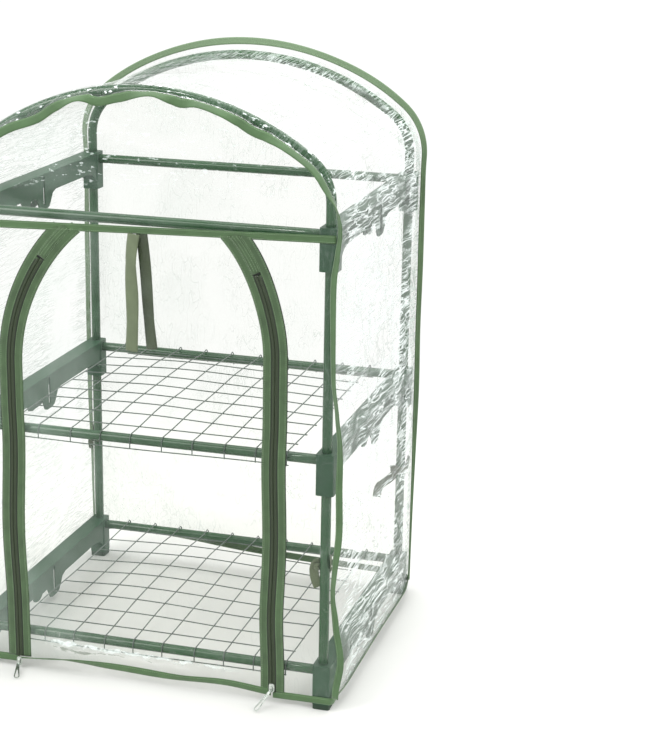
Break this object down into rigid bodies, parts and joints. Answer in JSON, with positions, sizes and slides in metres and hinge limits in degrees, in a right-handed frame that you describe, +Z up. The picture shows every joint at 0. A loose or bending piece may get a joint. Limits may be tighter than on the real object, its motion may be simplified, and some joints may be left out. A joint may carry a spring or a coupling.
{
  "type": "mini greenhouse",
  "caption": "Small two-tier arched greenhouse: push-fit tube frame, moulded side brackets, wire shelves, clear film cover with a zipped front door.",
  "frame": {"origin": "on the ground at the centre of the bounding box's footprint, just in front of the centre of the four posts", "axes": "+Z up, -Y out of the zipped front, +X to the right as seen from the front"},
  "size_m": [0.6212, 0.552, 0.9596],
  "materials": {
    "tube": "glossy dark green enamel",
    "bracket": "satin grey-green moulding",
    "foot": "matt dark green moulding",
    "wire": "coated steel wire",
    "film": "clear crumpled film",
    "binding": "woven green edge tape",
    "zip_tape": "woven green zip tape with an olive coil",
    "tie": "olive tape",
    "zip_metal": "bright plated metal"
  },
  "bodies": {
    "greenhouse": {"post_lower_front_left": "tube", "post_lower_front_right": "tube", "post_lower_back_left": "tube", "post_lower_back_right": "tube", "post_upper_front_left": "tube", "post_upper_front_right": "tube", "post_upper_back_left": "tube", "post_upper_back_right": "tube", "bar_low_front": "tube", "bar_low_back": "tube", "bar_middle_front": "tube", "bar_middle_back": "tube", "bar_top_front": "tube", "bar_top_back": "tube", "arch_front": "tube", "arch_back": "tube", "bracket_low_left": "bracket", "bracket_low_right": "bracket", "bracket_middle_left": "bracket", "bracket_middle_right": "bracket", "bracket_top_left": "bracket", "bracket_top_right": "bracket", "foot_front_left": "foot", "foot_front_right": "foot", "foot_back_left": "foot", "foot_back_right": "foot", "cover_roof": "film", "cover_side_left": "film", "cover_side_right": "film", "cover_back": "film", "cover_gable": "film", "cover_strip_left": "film", "cover_strip_right": "film", "binding_front": "binding", "binding_back": "binding", "hem_cover": "binding", "seam_tape": "binding", "zip_outer_left": "zip_tape", "zip_outer_right": "zip_tape", "tie_front_left": "tie", "tie_front_right": "tie", "tie_back_left": "tie", "tie_back_right": "tie"},
    "door": {"door_film": "film", "hem_door": "binding", "zip_inner_left": "zip_tape", "zip_inner_right": "zip_tape"},
    "door_tie_outer": {"door_tie_outer": "tie"},
    "door_tie_inner": {"door_tie_inner": "tie"},
    "slider_left": {"slider_left": "zip_metal"},
    "slider_right": {"slider_right": "zip_metal"},
    "pull_left": {"pull_left": "zip_metal"},
    "pull_right": {"pull_right": "zip_metal"},
    "shelf_lower": {"shelf_lower": "wire"},
    "shelf_middle": {"shelf_middle": "wire"}
  },
  "joints": [
    {"name": "door_swing", "type": "hinge", "parent": "greenhouse", "child": "door", "pos_m": [0, -0.22932, 0.72], "axis": [-1, 0, 0], "range_deg": [0, 100]},
    {"name": "door_tie_outer_swing", "type": "hinge", "parent": "door", "child": "door_tie_outer", "pos_m": [-0.013, -0.22982, 0.716], "axis": [-1, 0, 0], "range_deg": [0, 60]},
    {"name": "door_tie_inner_swing", "type": "hinge", "parent": "greenhouse", "child": "door_tie_inner", "pos_m": [0.011, -0.22792, 0.716], "axis": [1, 0, 0], "range_deg": [0, 60]},
    {"name": "slider_left_slide", "type": "slide", "parent": "door", "child": "slider_left", "axis": [0, 0, 1], "range_m": [0, 0.48]},
    {"name": "slider_right_slide", "type": "slide", "parent": "door", "child": "slider_right", "axis": [0, 0, 1], "range_m": [0, 0.51]},
    {"name": "pull_left_swing", "type": "hinge", "parent": "slider_left", "child": "pull_left", "pos_m": [-0.216, -0.23892, 0.01], "axis": [-0.9336, -0.3584, 0], "range_deg": [0, 90]},
    {"name": "pull_right_swing", "type": "hinge", "parent": "slider_right", "child": "pull_right", "pos_m": [0.207, -0.23892, 0.026], "axis": [-0.866, 0.5, 0], "range_deg": [0, 105]},
    {"name": "shelf_lower_lift", "type": "slide", "parent": "greenhouse", "child": "shelf_lower", "axis": [0, 0, 1], "range_m": [0, 0.09]},
    {"name": "shelf_middle_lift", "type": "slide", "parent": "greenhouse", "child": "shelf_middle", "axis": [0, 0, 1], "range_m": [0, 0.09]}
  ]
}
